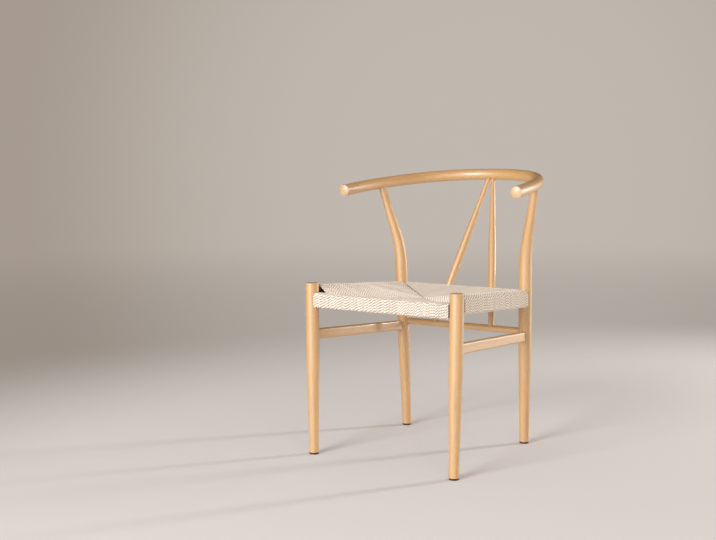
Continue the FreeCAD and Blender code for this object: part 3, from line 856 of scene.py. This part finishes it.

# %% [markdown]
# The finish of the cord is unbleached paper: a warm off-white that differs a little from strand to
# strand. Painted shade darkens the creases between the beads, and a deep painted shade lies where
# a strand has plunged between the layers. Paper is matt and slightly fuzzy, so the shader is rough
# and has a touch of sheen.

# %% Paper cord finish
PAPER_PALE = (0.90, 0.83, 0.76)
PAPER_WARM = (0.79, 0.70, 0.60)
PAPER_CREASE_SHADE = (0.31, 0.22, 0.15)
PAPER_PLUNGE_SHADE = (0.050, 0.032, 0.020)
CREASE_SHADE_LIMITS = {"From Min": 0.25, "From Max": -1.0, "To Max": 0.85}
PLUNGE_SHADE_LIMITS = {"From Min": 0.1, "From Max": 0.6}
STRAND_TONE_SHARE = 0.25
PAPER_STOPS = [(0.3, PAPER_WARM), (0.6, PAPER_PALE)]
MOTTLE_SCALE = 260
MOTTLE_DETAIL = 3.0
PAPER_FIBRE_SCALE = 2400
PAPER_DEPTH = 0.0002
PAPER_STRENGTH = 0.6
PAPER_SURFACE = {"Roughness": 0.85, "Sheen Weight": 0.15, "Sheen Roughness": 0.5}


def paper_finish():
    """Matt twisted paper."""
    material, tree, shader = new_material("paper_cord")

    def kept(name, output="Fac"):
        return add_node(tree, "ShaderNodeAttribute", attribute_name=name).outputs[output]

    place = own_place(tree)
    mottle = noise(tree, place, scale=MOTTLE_SCALE, detail=MOTTLE_DETAIL)
    strand_tone = math_node(tree, "MULTIPLY", kept("shade"), STRAND_TONE_SHARE)
    mottle_tone = math_node(tree, "MULTIPLY", mottle, 1 - STRAND_TONE_SHARE)
    tone = math_node(tree, "ADD", strand_tone, mottle_tone)
    wave = bead_wave(tree, kept("run"), kept("phase"), kept("around", "Vector"))
    # Painted shade: the creases between the beads are darkened in the colour itself.
    crease = map_range(tree, wave, CREASE_SHADE_LIMITS, "SMOOTHSTEP")
    beaded = mixed(tree, crease, ramp(tree, tone, PAPER_STOPS), PAPER_CREASE_SHADE)
    # Painted shade: the ends that plunge between the layers are darkened almost to black.
    plunged = map_range(tree, kept("plunge"), PLUNGE_SHADE_LIMITS)
    tree.links.new(mixed(tree, plunged, beaded, PAPER_PLUNGE_SHADE), shader.inputs["Base Color"])
    fibres = noise(tree, place, scale=PAPER_FIBRE_SCALE)
    roughen(tree, shader, fibres, PAPER_STRENGTH, PAPER_DEPTH)
    set_inputs(shader, PAPER_SURFACE)
    return material


paper = paper_finish()
print("paper finish ready")

# %% [markdown]
# With lines, tree and finish ready, each panel gets its modifier. The inputs are set by the
# sockets' identifiers before the object is first evaluated, the result is taken as a plain mesh,
# and the modifier goes. Only then does the piece take the place of its wedge-shaped solid.

# %% Weave the seat
CORD_SETTINGS = {"Diameter": 0.0042, "Relief": 0.00045, "Ring Spacing": 0.0019,
                 "Looseness": 0.0007, "Finish": paper}


def woven(piece, seed):
    """Runs the cord tree on a panel's lines and leaves a plain mesh."""
    modifier = piece.modifiers.new("cord", "NODES")
    modifier.node_group = cord_nodes
    for name, value in {**CORD_SETTINGS, "Seed": seed}.items():
        modifier[cord_sockets[name].identifier] = value
    bpy.context.view_layer.update()
    depsgraph = bpy.context.evaluated_depsgraph_get()
    mesh = bpy.data.meshes.new_from_object(piece.evaluated_get(depsgraph),
                                           preserve_all_data_layers=True, depsgraph=depsgraph)
    piece.modifiers.remove(modifier)
    piece.data = mesh


for seed, (name, piece) in enumerate(panel_objects.items()):
    woven(piece, seed)
    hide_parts("seat_weave_" + name)
    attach(piece, "root")
    print(piece.name, len(piece.data.polygons), "faces")

# %% [markdown]
# The four rails inside the seat get a dark brown that is painted shade: it stands for the dim
# inside of the seat between the layers of cord. Only slivers of them show, beside the legs and
# through the openings at the front corners, but those slivers are what makes the openings so dark.

# %% Seat rails
# Painted shade: this dark brown stands for the dim inside of the seat.
RAIL_SHADE_BROWN = (0.050, 0.030, 0.018)
RAIL_SURFACE = {"Base Color": (*RAIL_SHADE_BROWN, 1), "Roughness": 0.6}
POWDER_SCALE = 1800
POWDER_DEPTH = 0.0001
POWDER_STRENGTH = 0.3

rail_shade_finish, tree, shader = new_material("seat_rail_painted_shade")
powder = noise(tree, own_place(tree), scale=POWDER_SCALE)
roughen(tree, shader, powder, POWDER_STRENGTH, POWDER_DEPTH)
set_inputs(shader, RAIL_SURFACE)
for name in rails:
    wear("seat_rail_" + name, rail_shade_finish)
print("seat rails finished")

# %% [markdown]
# The chair stands on a plain pale floor that fades into a warm grey distance, which glows though
# it is no lamp. The fade only changes what the camera and mirrors see, never the light on the
# chair. The distance isn't even: painted light makes it brightest behind the chair's back, it
# falls off into painted shade to the left, and a painted shadow lies as a soft dark band where the
# floor ends. One function gives the colour seen in a direction. The world uses it for its own
# directions, and the floor for the direction in which a place lies from the camera.

# %% Floor and surroundings
FLOOR_COLOUR = (0.725, 0.715, 0.730)
FLOOR_SURFACE = {"Base Color": (*FLOOR_COLOUR, 1), "Roughness": 0.7, "Specular IOR Level": 0.2}
DISTANCE_BRIGHT = (0.530, 0.480, 0.430)
DISTANCE_DARK = (0.385, 0.328, 0.283)
BRIGHTEST_WAY = Vector((-0.4801, 0.8772, 0.0007))
BRIGHT_SPREAD = math.radians(24.0)
FADE_MIDDLE = (1.03, -0.11, 0.0)
FADE_START = 1.8
FADE_END = 3.25
BAND_END = 9.5
BAND_SHADE = 0.84
FLOOR_HALF_SIZE = 9.0
MIRRORED_SHARE = 0.12


def distance_colour(tree, direction):
    """Colour of the surroundings in a direction, with painted light and shade in it."""
    aimed = vector_node(tree, "DOT_PRODUCT", {0: direction, 1: BRIGHTEST_WAY}, "Value")
    limits = {"From Min": math.cos(BRIGHT_SPREAD), "From Max": 1.0}
    bright = map_range(tree, aimed, limits, "SMOOTHSTEP")
    return mixed(tree, bright, DISTANCE_DARK, DISTANCE_BRIGHT)


def floor_finish():
    """Pale matt floor that fades into the distance."""
    material, tree, shader = new_material("floor_pale")
    set_inputs(shader, FLOOR_SURFACE)
    place = own_place(tree)
    from_camera = vector_node(tree, "SUBTRACT", {0: place, 1: CAMERA_PLACE})
    direction = vector_node(tree, "NORMALIZE", {0: from_camera})
    radius = vector_node(tree, "DISTANCE", {0: place, 1: FADE_MIDDLE}, "Value")
    fade_limits = {"From Min": FADE_START, "From Max": FADE_END}
    fade = map_range(tree, radius, fade_limits, "SMOOTHSTEP")
    band_limits = {"From Min": FADE_END, "From Max": BAND_END, "To Min": BAND_SHADE}
    band = map_range(tree, radius, band_limits, "SMOOTHSTEP")
    # The far floor glows with the distance colour: painted light and the painted shadow band.
    distance = add_node(tree, "ShaderNodeEmission",
                        {"Color": distance_colour(tree, direction), "Strength": band}).outputs[0]
    path = add_node(tree, "ShaderNodeLightPath").outputs
    seen = math_node(tree, "MAXIMUM", path["Is Camera Ray"], path["Is Transmission Ray"])
    mirrored = math_node(tree, "MAXIMUM", seen, path["Is Glossy Ray"])
    factor = math_node(tree, "MULTIPLY", fade, mirrored)
    mix_values = {0: factor, 1: shader.outputs[0], 2: distance}
    mix = add_node(tree, "ShaderNodeMixShader", mix_values)
    output = next(node for node in tree.nodes if node.type == "OUTPUT_MATERIAL")
    tree.links.new(mix.outputs[0], output.inputs[0])
    return material


floor_mesh = bpy.data.meshes.new("floor")
size = FLOOR_HALF_SIZE
floor_mesh.from_pydata([(-size, -size, 0), (size, -size, 0), (size, size, 0), (-size, size, 0)],
                       [], [(0, 1, 2, 3)])
floor_mesh.materials.append(floor_finish())
floor = bpy.data.objects.new("floor", floor_mesh)
bpy.context.scene.collection.objects.link(floor)

WORLD_LIGHT = (1.0, 0.90, 0.80)
WORLD_STRENGTH = 0.48
world = bpy.data.worlds.new("studio")
bpy.context.scene.world = world
world.use_nodes = True
world_tree = world.node_tree
world_tree.nodes.clear()
path = add_node(world_tree, "ShaderNodeLightPath").outputs
direction = add_node(world_tree, "ShaderNodeTexCoord").outputs["Generated"]
lit = add_node(world_tree, "ShaderNodeBackground",
               {"Color": (*WORLD_LIGHT, 1), "Strength": WORLD_STRENGTH})
seen = math_node(world_tree, "MAXIMUM", path["Is Camera Ray"], path["Is Transmission Ray"])
mirrored = math_node(world_tree, "MULTIPLY", path["Is Glossy Ray"], MIRRORED_SHARE)
shown = add_node(world_tree, "ShaderNodeBackground",
                 {"Color": distance_colour(world_tree, direction),
                  "Strength": math_node(world_tree, "MAXIMUM", seen, mirrored)})
chosen = math_node(world_tree, "MAXIMUM", seen, path["Is Glossy Ray"])
world_mix = add_node(world_tree, "ShaderNodeMixShader",
                     {0: chosen, 1: lit.outputs[0], 2: shown.outputs[0]})
world_output = add_node(world_tree, "ShaderNodeOutputWorld")
world_tree.links.new(world_mix.outputs[0], world_output.inputs[0])
print("floor and surroundings ready")

# %% [markdown]
# The shadows tell where the lamps stand. Every foot throws two: a soft one almost straight back,
# from a large high lamp in front of the chair and well to the left of the camera, and a thin one
# forward to the left, from a tall narrow lamp behind on the right. The second lamp also draws the
# bright lines down the far edges of the rods and rear legs. A weak warm fill from the right keeps
# the right band of the seat from going grey.


# %% Lamps
def soft_lamp(name, place, width, height, watts, colour):
    """A rectangular lamp that faces the chair."""
    data = bpy.data.lights.new(name, "AREA")
    data.shape = "RECTANGLE"
    data.size = width
    data.size_y = height
    data.energy = watts
    data.color = colour
    lamp = bpy.data.objects.new(name, data)
    lamp.location = place
    lamp.rotation_mode = "QUATERNION"
    lamp.rotation_quaternion = (Vector(place) - CHAIR_MIDDLE).to_track_quat("Z", "Y")
    bpy.context.scene.collection.objects.link(lamp)


soft_lamp("key", (-0.63, -5.85, 2.0), width=2.4, height=2.6, watts=328, colour=(1.0, 0.99, 0.98))
soft_lamp("fill", (2.9, -3.3, 1.8), width=2.0, height=2.0, watts=34, colour=(1.0, 0.91, 0.78))
soft_lamp("edge", (2.4, 3.5, 1.2), width=0.35, height=1.8, watts=112, colour=(1.0, 0.97, 0.93))
bpy.context.scene.view_settings.view_transform = "Standard"
print("lamps ready")
